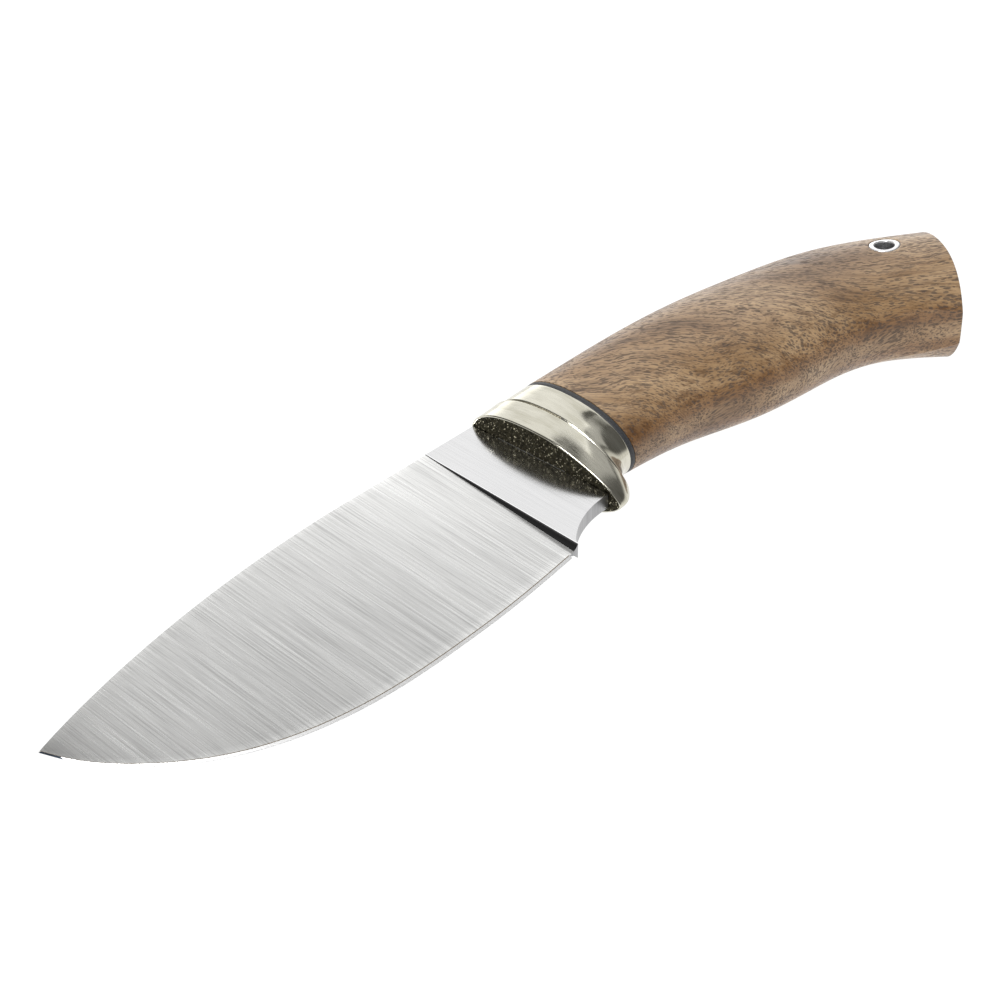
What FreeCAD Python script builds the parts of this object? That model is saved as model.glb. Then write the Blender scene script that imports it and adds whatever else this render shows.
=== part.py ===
import FreeCAD, Part
import math
import os
from FreeCAD import Vector

# Fixed-blade skinning knife lying on its right side.  Millimetres.
# +X runs from the blade to the butt, +Y from the edge to the spine, +Z is the knife's left side.
# The origin is on the front face of the bolster, on the tang's centre line, in the blade's mid-plane.

# --- blade: one piece of flat stock with a hidden tang
STOCK = 3.0                    # thickness of the steel bar
SPINE_Y = 14.0                 # straight part of the back
SPINE_DROP_X = -32.0           # where the back begins to fall towards the tip
TIP = (-111.2, 3.0)
EDGE = [(-17.0, -24.7), (-34.0, -26.6), (-50.0, -27.4), (-62.0, -27.35), (-74.0, -26.0),
        (-85.0, -23.0), (-95.0, -17.8), (-103.0, -10.9), (-108.3, -3.9), TIP]
HEEL_CORNER = (-14.9, -24.0)   # middle of the rounded heel
CHOIL_END = (-14.1, -23.0)
CHOIL_CENTRE = (-1.0, -38.8)   # finger notch between the heel and the bolster
CHOIL_RADIUS = 20.5

EDGE_FLAT = 0.04               # what is left of the stock at the very edge
BEVEL_WIDTH = 0.6              # sharpening bevel, across the blade
BEVEL_Z = 0.2                  # half thickness where the bevel meets the flat grind
GRIND_SLOPE = 0.0315           # flat grind, rise per millimetre towards the back
BEVEL_START_X = -15.7
PLUNGE_SPINE_X = -12.6         # the grind stops here at the back ...
PLUNGE_HEEL = (-16.3, -22.9)   # ... and here at the heel
PLUNGE_RADIUS = 2.5            # run-out of the grind at the heel, nothing at the back

TANG_ROOT = 8.0                # half width of the tang at the bolster
TANG_LENGTH = 76.0
TANG_TIP_TOP = -0.5
TANG_TIP_BOTTOM = -8.5

# --- bolster: one casting, a front ring with a finger lug and a rear ring, a groove between them
BOLSTER_LENGTH = 12.2
RING_END = 5.6
GROOVE_END = 6.3
GROOVE_DEPTH = 0.35
RIM_CHAMFER = 0.25
SLOT_GAP = 0.1
# x, top y, bottom y, half thickness, roundness of the belly side, egg factor
FRONT_RING = [(0.4, 14.5, -21.2, 6.70, 1.60, -0.12), (2.0, 14.5, -21.0, 6.95, 1.60, -0.12),
              (3.6, 14.5, -20.2, 7.20, 1.60, -0.11), (RING_END, 14.5, -18.4, 7.50, 1.62, -0.10)]
REAR_RING = [(GROOVE_END, 14.1, -16.9, 7.30, 1.65, -0.10), (8.0, 14.0, -15.0, 7.40, 1.75, -0.10),
             (9.5, 14.0, -14.0, 7.52, 1.85, -0.09), (10.9, 13.9, -13.5, 7.65, 2.00, -0.09),
             (BOLSTER_LENGTH, 13.9, -13.4, 7.75, 2.10, -0.09)]

# --- spacer and handle
SPACER_END = 13.4
STATIONS = [0.0, 0.19, 0.4, 0.6, 0.8, 1.0]
HANDLE_TOP = [(SPACER_END, 13.9), (30.4, 12.5), (49.6, 11.2), (68.8, 8.8), (88.3, 3.5), (106.1, -9.2)]
HANDLE_BOTTOM = [(SPACER_END, -13.4), (29.8, -14.4), (46.1, -18.7), (61.5, -20.7), (76.6, -23.5),
                 (91.8, -31.5)]
HALF_THICKNESS = [7.8, 9.7, 10.3, 9.7, 9.8, 11.5]
SHAPE_STATIONS = [0.0, 0.5, 1.0]
BELLY_ROUNDNESS = [2.10, 2.25, 2.2]
EGG = [-0.09, -0.12, 0.08]
SPINE_ROUNDNESS = 2.4
CREASE_FRONT = math.radians(34.0)    # where the belly meets the flank, round the section
CREASE_BUTT = math.radians(11.5)
CREASE_RIDGE = 0.05                  # how proud the crease stands at the butt
CREASE_SPREAD = 0.20
BUTT_RADIUS = 78.0                   # the butt is slightly domed
BUTT_OVERRUN = 1.06
HANDLE_SECTIONS = 12

# --- inside the handle
MORTISE_HALF = 2.5
MORTISE_GAP = 1.6

# --- lanyard tube
TUBE_AXIS = (91.8, -10.9)
TUBE_OUTER = 3.0
TUBE_INNER = 2.0
TUBE_GLUE = 0.05


def natural_spline(knots, values):
    """Return a function through the values with no curvature at either end."""
    count = len(knots)
    gaps = [knots[i + 1] - knots[i] for i in range(count - 1)]
    slopes = [(values[i + 1] - values[i]) / gaps[i] for i in range(count - 1)]
    upper = [0.0] * count
    right = [0.0] * count
    for i in range(1, count - 1):
        pivot = 2.0 * (gaps[i - 1] + gaps[i]) - gaps[i - 1] * upper[i - 1]
        upper[i] = gaps[i] / pivot
        right[i] = (6.0 * (slopes[i] - slopes[i - 1]) - gaps[i - 1] * right[i - 1]) / pivot
    bend = [0.0] * count
    for i in range(count - 2, 0, -1):
        bend[i] = right[i] - upper[i] * bend[i + 1]

    def value(t):
        i = 0
        while i < count - 2 and t > knots[i + 1]:
            i += 1
        a = t - knots[i]
        b = knots[i + 1] - t
        cubic = (bend[i] * b ** 3 + bend[i + 1] * a ** 3) / (6.0 * gaps[i])
        left_part = (values[i] / gaps[i] - bend[i] * gaps[i] / 6.0) * b
        right_part = (values[i + 1] / gaps[i] - bend[i + 1] * gaps[i] / 6.0) * a
        return cubic + left_part + right_part

    return value


def signed_power(value, power):
    return math.copysign(abs(value) ** power, value)


def section_wire(top, bottom, half, belly, egg, spine=SPINE_ROUNDNESS, crease=CREASE_FRONT, ridge=0.0):
    """Egg-shaped section in the upright plane through two points: two flanks and a belly."""

    def point(angle):
        roundness = spine if math.cos(angle) < 0 else belly
        across = signed_power(math.cos(angle), 2.0 / roundness)
        out = signed_power(math.sin(angle), 2.0 / roundness)
        swell = 1.0 + ridge * math.exp(-abs(abs(angle) - crease) / CREASE_SPREAD)
        middle = (top + bottom) * 0.5
        reach = (bottom - top) * (0.5 * across * swell)
        return middle + reach + Vector(0, 0, half * out * (1.0 + egg * across) * swell)

    def edge(first, last, count):
        angles = [first + (last - first) * i / (count - 1) for i in range(count)]
        curve = Part.BSplineCurve()
        curve.interpolate(Points=[point(a) for a in angles], Parameters=[float(i) for i in range(count)])
        return curve.toShape()

    belly_edge = edge(-crease, crease, 9)
    left_flank = edge(crease, math.pi, 17)
    right_flank = edge(-math.pi, -crease, 17)
    return Part.Wire([belly_edge, left_flank, right_flank])


def upright_wire(row, inset=0.0):
    """Section square to the knife's length."""
    x, top_y, bottom_y, half, belly, egg = row
    top = Vector(x, top_y - inset, 0)
    bottom = Vector(x, bottom_y + inset, 0)
    return section_wire(top, bottom, half - inset, belly, egg)


def tang_wire(gap, start, end):
    """Outline of the tapered tang, widened by a gap."""
    drop_top = (TANG_TIP_TOP - TANG_ROOT) / TANG_LENGTH
    drop_bottom = (TANG_TIP_BOTTOM + TANG_ROOT) / TANG_LENGTH
    corners = [Vector(start, TANG_ROOT + gap + drop_top * start, 0),
               Vector(end, TANG_ROOT + gap + drop_top * end, 0),
               Vector(end, -TANG_ROOT - gap + drop_bottom * end, 0),
               Vector(start, -TANG_ROOT - gap + drop_bottom * start, 0)]
    return Part.makePolygon(corners + corners[:1])


def prism(wire, half):
    """Solid of a flat outline, the same depth above and below the mid-plane."""
    face = Part.Face(wire)
    face.translate(Vector(0, 0, -half))
    return face.extrude(Vector(0, 0, 2.0 * half))


def flat_point(place):
    return Vector(place[0], place[1], 0)


def edge_curve():
    curve = Part.BSplineCurve()
    curve.interpolate(Points=[flat_point(p) for p in EDGE])
    return curve


def blade_outline():
    """Back, tip, edge, rounded heel, finger notch and tang in one closed outline."""
    drop = SPINE_Y - TIP[1]
    run = SPINE_DROP_X - TIP[0]
    radius = (run * run + drop * drop) / (2.0 * drop)
    half_turn = math.asin(run / radius) / 2.0
    spine_mid = Vector(SPINE_DROP_X - radius * math.sin(half_turn),
                       SPINE_Y - radius * (1.0 - math.cos(half_turn)), 0)
    spine_start = Vector(0, SPINE_Y, 0)
    spine_bend = Vector(SPINE_DROP_X, SPINE_Y, 0)
    tip = flat_point(TIP)
    heel = flat_point(EDGE[0])
    choil_end = flat_point(CHOIL_END)
    choil_start_y = CHOIL_CENTRE[1] + math.sqrt(CHOIL_RADIUS ** 2 - CHOIL_CENTRE[0] ** 2)
    choil_start = Vector(0, choil_start_y, 0)
    mid_x = CHOIL_END[0] / 2.0
    mid_y = CHOIL_CENTRE[1] + math.sqrt(CHOIL_RADIUS ** 2 - (mid_x - CHOIL_CENTRE[0]) ** 2)
    root_low = Vector(0, -TANG_ROOT, 0)
    root_high = Vector(0, TANG_ROOT, 0)
    end_low = Vector(TANG_LENGTH, TANG_TIP_BOTTOM, 0)
    end_high = Vector(TANG_LENGTH, TANG_TIP_TOP, 0)
    edges = [Part.LineSegment(spine_start, spine_bend).toShape(),
             Part.Arc(spine_bend, spine_mid, tip).toShape(),
             edge_curve().toShape(),
             Part.Arc(heel, flat_point(HEEL_CORNER), choil_end).toShape(),
             Part.Arc(choil_end, Vector(mid_x, mid_y, 0), choil_start).toShape(),
             Part.LineSegment(choil_start, root_low).toShape(),
             Part.LineSegment(root_low, end_low).toShape(),
             Part.LineSegment(end_low, end_high).toShape(),
             Part.LineSegment(end_high, root_high).toShape(),
             Part.LineSegment(root_high, spine_start).toShape()]
    return Part.Wire(Part.__sortEdges__(edges))


def outside_edge(start_height, inward, slope, depth, stop):
    """Cutter for one ground face: everything outside the edge line, swept inward and upward."""
    far_x = -130.0
    far_y = -110.0
    beyond_y = 30.0
    tangent = flat_point(EDGE[-1]) - flat_point(EDGE[-2])
    beyond = flat_point(TIP) + tangent * ((beyond_y - TIP[1]) / tangent.y)
    heel = flat_point(EDGE[0])
    heel_run = Vector(0, EDGE[0][1] + 3.3, 0)
    frame = [beyond, Vector(far_x, beyond_y, 0), Vector(far_x, far_y, 0), Vector(0, far_y, 0), heel_run, heel]
    lines = [Part.LineSegment(flat_point(TIP), beyond).toShape()]
    lines += [Part.LineSegment(frame[i], frame[i + 1]).toShape() for i in range(len(frame) - 1)]
    face = Part.Face(Part.Wire(Part.__sortEdges__([edge_curve().toShape()] + lines)))
    face.translate(Vector(0, inward, start_height))
    sweep = face.extrude(Vector(0, depth / slope, depth))
    ahead = Part.makePolygon([stop[0], Vector(-140, stop[0].y, 0), Vector(-140, stop[1].y, 0), stop[1], stop[0]])
    keep = Part.Face(ahead).extrude(Vector(0, 0, 2.0 * STOCK))
    return sweep.common(keep)


def plunge_cone():
    """Run-out of the flat grind: its radius grows from nothing at the back to full at the heel."""
    back = Vector(PLUNGE_SPINE_X, SPINE_Y, STOCK / 2.0)
    heel_face = BEVEL_Z + GRIND_SLOPE * (PLUNGE_HEEL[1] - EDGE[0][1] - BEVEL_WIDTH)
    heel = Vector(PLUNGE_HEEL[0], PLUNGE_HEEL[1], heel_face + PLUNGE_RADIUS)
    run = heel - back
    first = 0.02
    last = 1.2
    start = back + run * first
    height = run.Length * (last - first)
    return Part.makeCone(PLUNGE_RADIUS * first, PLUNGE_RADIUS * last, height, start, run)


def make_blade():
    blade = prism(blade_outline(), STOCK / 2.0)
    slant = (PLUNGE_HEEL[0] - PLUNGE_SPINE_X) / (PLUNGE_HEEL[1] - SPINE_Y)
    plunge = [Vector(PLUNGE_SPINE_X + slant * (y - SPINE_Y), y, 0) for y in (40.0, -60.0)]
    bevel_stop = [Vector(BEVEL_START_X, 40.0, 0), Vector(BEVEL_START_X, -60.0, 0)]
    cutters = [outside_edge(BEVEL_Z, BEVEL_WIDTH, GRIND_SLOPE, STOCK, plunge),
               outside_edge(EDGE_FLAT / 2.0, 0.0, BEVEL_Z / BEVEL_WIDTH, STOCK, bevel_stop),
               plunge_cone()]
    for cutter in cutters:
        mirrored = cutter.mirror(Vector(0, 0, 0), Vector(0, 0, 1))
        blade = blade.cut(cutter)
        blade = blade.cut(mirrored)
    return blade.Solids[0]


def make_bolster():
    face_wire = upright_wire((0.0,) + FRONT_RING[0][1:], RIM_CHAMFER)
    front_wires = [upright_wire(row) for row in FRONT_RING]
    rear_wires = [upright_wire(row) for row in REAR_RING]
    rim = Part.makeLoft([face_wire, front_wires[0]], True, True)
    front = Part.makeLoft(front_wires, True, False)
    core_row = (RING_END,) + REAR_RING[0][1:]
    core_wires = [upright_wire(core_row, GROOVE_DEPTH), upright_wire(REAR_RING[0], GROOVE_DEPTH)]
    core = Part.makeLoft(core_wires, True, True)
    rear = Part.makeLoft(rear_wires, True, False)
    bolster = rim.fuse([front, core, rear])
    slot = prism(tang_wire(SLOT_GAP, -1.0, BOLSTER_LENGTH + 1.0), STOCK / 2.0 + SLOT_GAP)
    return bolster.cut(slot).Solids[0]


def make_spacer():
    face = Part.Face(upright_wire(REAR_RING[-1]))
    spacer = face.extrude(Vector(SPACER_END - BOLSTER_LENGTH, 0, 0))
    slot = prism(tang_wire(SLOT_GAP, BOLSTER_LENGTH - 1.0, SPACER_END + 1.0), STOCK / 2.0 + SLOT_GAP)
    return spacer.cut(slot)


def handle_block():
    """Outside of the handle, before any hole is made in it."""
    top_x = natural_spline(STATIONS, [p[0] for p in HANDLE_TOP])
    top_y = natural_spline(STATIONS, [p[1] for p in HANDLE_TOP])
    bottom_x = natural_spline(STATIONS, [p[0] for p in HANDLE_BOTTOM])
    bottom_y = natural_spline(STATIONS, [p[1] for p in HANDLE_BOTTOM])
    half = natural_spline(STATIONS, HALF_THICKNESS)
    belly = natural_spline(SHAPE_STATIONS, BELLY_ROUNDNESS)
    egg = natural_spline(SHAPE_STATIONS, EGG)
    wires = []
    for i in range(HANDLE_SECTIONS):
        t = BUTT_OVERRUN * i / (HANDLE_SECTIONS - 1)
        turn = max(0.0, (t - 0.7) / 0.3)
        rise = max(0.0, (t - 0.6) / 0.4)
        crease = CREASE_FRONT - (CREASE_FRONT - CREASE_BUTT) * min(turn, 1.0) ** 2
        top = Vector(top_x(t), top_y(t), 0)
        bottom = Vector(bottom_x(t), bottom_y(t), 0)
        wires.append(section_wire(top, bottom, half(t), belly(t), egg(t),
                                  crease=crease, ridge=CREASE_RIDGE * rise ** 2))
    block = Part.makeLoft(wires, True, False)
    butt_top = flat_point(HANDLE_TOP[-1])
    butt_bottom = flat_point(HANDLE_BOTTOM[-1])
    across = butt_bottom - butt_top
    outward = Vector(-across.y, across.x, 0).normalize()
    dome_centre = (butt_top + butt_bottom) * 0.5 - outward * BUTT_RADIUS
    return block.common(Part.makeSphere(BUTT_RADIUS, dome_centre)).Solids[0]


def mortise_block():
    return prism(tang_wire(MORTISE_GAP, SPACER_END, TANG_LENGTH + MORTISE_GAP), MORTISE_HALF)


def upright_cylinder(radius):
    return Part.makeCylinder(radius, 60.0, Vector(TUBE_AXIS[0], TUBE_AXIS[1], -30.0), Vector(0, 0, 1))


def make_handle(block):
    return block.cut(mortise_block()).cut(upright_cylinder(TUBE_OUTER + TUBE_GLUE)).Solids[0]


def make_tang_epoxy(blade):
    """Cured adhesive that beds the tang in its mortise."""
    return mortise_block().cut(blade).Solids[0]


def make_lanyard_tube(block):
    """Tube through the butt, its ends dressed down with the wood."""
    rod = upright_cylinder(TUBE_OUTER).cut(upright_cylinder(TUBE_INNER))
    return rod.common(block).Solids[0]


def main():
    os.makedirs("parts", exist_ok=True)
    blade = make_blade()
    block = handle_block()
    nodes = {"blade": blade,
             "bolster": make_bolster(),
             "spacer": make_spacer(),
             "handle": make_handle(block),
             "tang_epoxy": make_tang_epoxy(blade),
             "lanyard_tube": make_lanyard_tube(block)}
    for name, shape in nodes.items():
        shape.exportStep("parts/" + name + ".step")
        box = shape.BoundBox
        print(name, shape.isValid(), len(shape.Solids), round(shape.Volume, 1),
              [round(v, 2) for v in (box.XMin, box.XMax, box.YMin, box.YMax, box.ZMin, box.ZMax)])


main()
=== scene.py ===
import math

import bmesh
import bpy
import numpy as np
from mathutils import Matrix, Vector, noise
from mathutils.bvhtree import BVHTree


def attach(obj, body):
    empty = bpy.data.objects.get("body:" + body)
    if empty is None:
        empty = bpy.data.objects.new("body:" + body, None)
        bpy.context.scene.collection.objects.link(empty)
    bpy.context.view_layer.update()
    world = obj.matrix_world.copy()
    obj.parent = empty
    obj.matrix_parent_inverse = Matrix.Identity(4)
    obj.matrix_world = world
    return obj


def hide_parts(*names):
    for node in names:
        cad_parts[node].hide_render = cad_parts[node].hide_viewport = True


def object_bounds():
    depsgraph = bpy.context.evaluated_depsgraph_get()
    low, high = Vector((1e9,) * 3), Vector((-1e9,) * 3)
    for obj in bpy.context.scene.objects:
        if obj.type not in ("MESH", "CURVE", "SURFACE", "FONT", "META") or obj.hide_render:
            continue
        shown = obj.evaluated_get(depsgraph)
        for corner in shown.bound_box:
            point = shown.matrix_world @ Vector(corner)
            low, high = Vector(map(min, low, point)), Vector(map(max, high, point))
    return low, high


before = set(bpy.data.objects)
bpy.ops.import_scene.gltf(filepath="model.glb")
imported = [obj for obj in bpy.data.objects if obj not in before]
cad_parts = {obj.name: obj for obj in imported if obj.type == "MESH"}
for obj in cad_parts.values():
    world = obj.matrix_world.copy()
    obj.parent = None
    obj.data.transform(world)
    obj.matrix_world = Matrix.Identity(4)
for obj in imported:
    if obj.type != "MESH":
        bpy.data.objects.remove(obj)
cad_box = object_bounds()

# Fixed-blade skinning knife. Lengths below are in millimetres and are turned into metres by MM.
# X runs from the blade to the butt, Y from the edge to the spine, and Z out of the left side.
MM = 0.001
PER_METRE = 1000.0

# --- blade, the same driving dimensions as the solid model; points are (x, y)
STOCK_HALF = 1.5
SPINE_Y = 14.0
SPINE_DROP_X = -32.0
TIP = (-111.2, 3.0)
EDGE = [(-17.0, -24.7), (-34.0, -26.6), (-50.0, -27.4), (-62.0, -27.35), (-74.0, -26.0),
        (-85.0, -23.0), (-95.0, -17.8), (-103.0, -10.9), (-108.3, -3.9), TIP]
HEEL_CORNER = (-14.9, -24.0)
CHOIL_END = (-14.1, -23.0)
CHOIL_CENTRE = (-1.0, -38.8)
CHOIL_RADIUS = 20.5
BEVEL_WIDTH = 0.6
BEVEL_Z = 0.2
EDGE_HALF = 0.02
GRIND_SLOPE = 0.0315
PLUNGE_SPINE_X = -12.6
PLUNGE_HEEL_Y = -22.9
PLUNGE_RADIUS = 2.5
TANG_ROOT = 8.0
TANG_LENGTH = 76.0
TANG_TIP = (-0.5, -8.5)

# --- blade details of the visual model
TIP_FACET = 1.8         # length of the dark facet at the point
HIGHLIGHT_STRIP_WIDTH = 0.16      # painted highlight strip at the end of the grind, and how far it lies over the flat
HIGHLIGHT_STRIP_LIFT = 0.006
DARK_STRIP_WIDTH = 0.14    # darker strip above the bevel, and how far its two borders lie over the grind
DARK_STRIP_LIFTS = (0.028, 0.020)
GRIND_COLUMNS = 150     # grid of the grind, from heel to point and from spine to bevel
GRIND_ROWS = 26
GRIND_CROWDING = 1.35   # above 1 puts the columns closer together toward the point
BEVEL_ROWS = 4
PLUNGE_STEPS = 25       # steps across the run-out, the first PLUNGE_SATIN of them still satin
PLUNGE_SATIN = 12
RICASSO_STEPS = 40
WALL_STEPS = 5
EDGE_SAMPLES = 4000
(GRIND_ZONE, RICASSO_ZONE, PLUNGE_ZONE, BEVEL_ZONE, WALL_ZONE, TANG_ZONE, DARK_STRIP_ZONE, FACET_ZONE,
 HIGHLIGHT_STRIP_ZONE) = range(9)

# --- bolster sections: x, top y, bottom y, half thickness, belly roundness, egg factor
BOLSTER_LENGTH = 12.2
RING_END = 5.6
GROOVE_END = 6.3
GROOVE_DEPTH = 0.35
FRONT_RING = [(0.4, 14.5, -21.2, 6.70, 1.60, -0.12), (2.0, 14.5, -21.0, 6.95, 1.60, -0.12),
              (3.6, 14.5, -20.2, 7.20, 1.60, -0.11), (RING_END, 14.5, -18.4, 7.50, 1.62, -0.10)]
REAR_RING = [(GROOVE_END, 14.1, -16.9, 7.30, 1.65, -0.10), (8.0, 14.0, -15.0, 7.40, 1.75, -0.10),
             (9.5, 14.0, -14.0, 7.52, 1.85, -0.09), (10.9, 13.9, -13.5, 7.65, 2.00, -0.09),
             (BOLSTER_LENGTH, 13.9, -13.4, 7.75, 2.10, -0.09)]

# --- casting's profile along the knife: x, depth below the section's outline
RIM_PROFILE = [(0.34, 0.52), (0.05, 0.34), (0.0, 0.25), (0.05, 0.13), (0.15, 0.04), (0.30, 0.0)]
GROOVE_PROFILE = [(5.42, 0.0), (5.52, 0.03), (5.59, 0.10), (5.66, 0.24), (5.76, GROOVE_DEPTH),
                  (6.08, GROOVE_DEPTH), (6.18, 0.25), (6.28, 0.09), (6.38, 0.02), (6.50, 0.0)]
REAR_PROFILE = [(11.98, 0.01), (12.10, 0.04), (12.17, 0.10), (12.2, 0.20), (12.2, 2.0)]

# --- punched front face: grid step, margins left free, mean depth, (scale, phase, height) of two bumps
PIT_STEP = 0.17
PIT_MARGIN = 0.3
PIT_BORDER = 0.40
PIT_DEPTH = 0.17
PIT_WAVES = ((1.7, 3.0, 0.17), (4.3, 11.0, 0.16))
PIT_LIMITS = (0.04, 0.36)

# --- columns round a section: belly between the creases, then the rest of the bolster and the handle
BELLY_COLUMNS = 60
BOLSTER_COLUMNS = 200
HANDLE_COLUMNS = 190

# --- handle: outlines in plan and sections, at shares of its length
HANDLE_RINGS = 210
SPACER_END = 13.4
STATIONS = [0.0, 0.19, 0.4, 0.6, 0.8, 1.0]
HANDLE_TOP = [(SPACER_END, 13.9), (30.4, 12.5), (49.6, 11.2), (68.8, 8.8), (88.3, 3.5), (106.1, -9.2)]
HANDLE_BOTTOM = [(SPACER_END, -13.4), (29.8, -14.4), (46.1, -18.7), (61.5, -20.7), (76.6, -23.5),
                 (91.8, -31.5)]
HALF_THICKNESS = [7.8, 9.7, 10.3, 9.7, 9.8, 11.5]
SHAPE_STATIONS = [0.0, 0.5, 1.0]
BELLY_ROUNDNESS = [2.10, 2.25, 2.2]
EGG = [-0.09, -0.12, 0.08]
SPINE_ROUNDNESS = 2.4
CREASE_FRONT = math.radians(34.0)
CREASE_BUTT = math.radians(11.5)
CREASE_RIDGE = 0.05
CREASE_SPREAD = 0.20
BUTT_RADIUS = 78.0
BUTT_EASE = 0.25

# --- lanyard tube
TUBE_AXIS = (91.8, -10.9)
TUBE_OUTER = 3.0
TUBE_INNER = 2.0
TUBE_SIDES = 96
GLUE_LINE = 0.13
DRILL_REACH = 30.0      # well past both sides of the wood

# --- directions of the finishes
BRUSH_SLANT = 0.05      # of the brush lines, from the Y axis
GRAIN_TURN = math.radians(47.0)

# --- camera: looks down and along the knife from the point's side (lens and sensor in millimetres)
CAMERA_TARGET = (-12.5, -4.0, 0.0)
CAMERA_AZIMUTH = math.radians(47.76)
CAMERA_DROP = math.radians(35.0)
CAMERA_DISTANCE = 474.8
CAMERA_LENS = 97.2
CAMERA_SENSOR = 36.0

# --- room, in metres; the lights stand round the bolster
FLOOR_SIZE = 3.0
SOFT_BOXES = [  # name, azimuth, elevation, distance, width, height, radiance
    ("key_soft_box", 49.0, 29.0, 0.38, 0.325, 0.40, 1.0),
    ("side_soft_box", 88.0, 44.0, 0.60, 0.14, 0.40, 0.45),
    ("top_soft_box", 0.0, 90.0, 1.0, 0.60, 0.60, 0.7),
    ("fill_soft_box", -82.0, 68.0, 1.0, 0.40, 0.40, 14.0),
]


# ---------------------------------------------------------------- numbers and meshes

def natural_spline(knots, values):
    """Function through the values, with no curvature at either end. It takes numbers or arrays."""
    knots = np.asarray(knots, float)
    values = np.asarray(values, float)
    gaps = np.diff(knots)
    slopes = np.diff(values) / gaps
    count = len(knots)
    matrix = np.eye(count)
    right = np.zeros(count)
    for i in range(1, count - 1):
        matrix[i, i - 1:i + 2] = gaps[i - 1], 2.0 * (gaps[i - 1] + gaps[i]), gaps[i]
        right[i] = 6.0 * (slopes[i] - slopes[i - 1])
    bend = np.linalg.solve(matrix, right)

    def value(t):
        t = np.asarray(t, float)
        i = np.clip(np.searchsorted(knots, t, side="right") - 1, 0, count - 2)
        a = t - knots[i]
        b = knots[i + 1] - t
        cubic = (bend[i] * b ** 3 + bend[i + 1] * a ** 3) / (6.0 * gaps[i])
        linear = (values[i] / gaps[i] - bend[i] * gaps[i] / 6.0) * b
        linear += (values[i + 1] / gaps[i] - bend[i + 1] * gaps[i] / 6.0) * a
        return cubic + linear

    return value


def signed_power(value, power):
    return np.sign(value) * np.abs(value) ** power


def section(top, bottom, half, belly, egg, angles, crease=CREASE_FRONT, ridge=0.0):
    """Points of the egg-shaped section in the upright plane through two points in plan."""
    cosine = np.cos(angles)
    roundness = np.where(cosine < 0, SPINE_ROUNDNESS, belly)
    across = signed_power(cosine, 2.0 / roundness)
    out = signed_power(np.sin(angles), 2.0 / roundness)
    turn = np.abs(np.mod(angles + math.pi, 2.0 * math.pi) - math.pi)
    swell = 1.0 + ridge * np.exp(-np.abs(turn - crease) / CREASE_SPREAD)
    reach = 0.5 * across * swell
    x = (top[0] + bottom[0]) / 2.0 + (bottom[0] - top[0]) * reach
    y = (top[1] + bottom[1]) / 2.0 + (bottom[1] - top[1]) * reach
    z = half * out * (1.0 + egg * across) * swell
    return np.stack(np.broadcast_arrays(x, y, z), axis=-1)


def ring_angles():
    """Angles once round the bolster's section, with a column on each crease."""
    belly = np.linspace(-CREASE_FRONT, CREASE_FRONT, BELLY_COLUMNS + 1)[:-1]
    flank = np.linspace(CREASE_FRONT, 2.0 * math.pi - CREASE_FRONT, BOLSTER_COLUMNS + 1)[:-1]
    return np.concatenate([belly, flank])


def make_object(name, verts, faces, materials, zones=None):
    """Smooth-shaded mesh object from millimetre points, in the shared frame."""
    mesh = bpy.data.meshes.new(name)
    mesh.from_pydata([tuple(v) for v in np.asarray(verts) * MM], [], faces)
    for material in materials:
        mesh.materials.append(material)
    if zones is not None:
        mesh.polygons.foreach_set("material_index", zones)
    mesh.polygons.foreach_set("use_smooth", [True] * len(mesh.polygons))
    mesh.update()
    piece = bpy.data.objects.new(name, mesh)
    bpy.context.scene.collection.objects.link(piece)
    return piece


def tidy_mesh(piece, weld=0.002, sharp=None):
    """Weld, make the normals agree, and mark the edges that are sharper than an angle."""
    work = bmesh.new()
    work.from_mesh(piece.data)
    bmesh.ops.remove_doubles(work, verts=work.verts, dist=weld * MM)
    bmesh.ops.dissolve_degenerate(work, edges=work.edges, dist=weld * MM * 0.5)
    bmesh.ops.recalc_face_normals(work, faces=work.faces)
    if sharp is not None:
        for edge in work.edges:
            if len(edge.link_faces) == 2 and edge.calc_face_angle() > sharp:
                edge.smooth = False
    work.to_mesh(piece.data)
    work.free()


def loop_faces(rows, columns, start=0, closed=True):
    """Quads between the rows of a grid. Closed rows run round and meet themselves."""
    faces = []
    last = columns if closed else columns - 1
    for i in range(rows - 1):
        for j in range(last):
            k = (j + 1) % columns
            a = start + i * columns
            b = a + columns
            faces.append((a + j, a + k, b + k, b + j))
    return faces


def finish_piece(piece, node):
    """Put a piece on the one body, in place of a CAD node if it stands for one."""
    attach(piece, "root")
    if node:
        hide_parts(node)


# ---------------------------------------------------------------- materials

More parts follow.
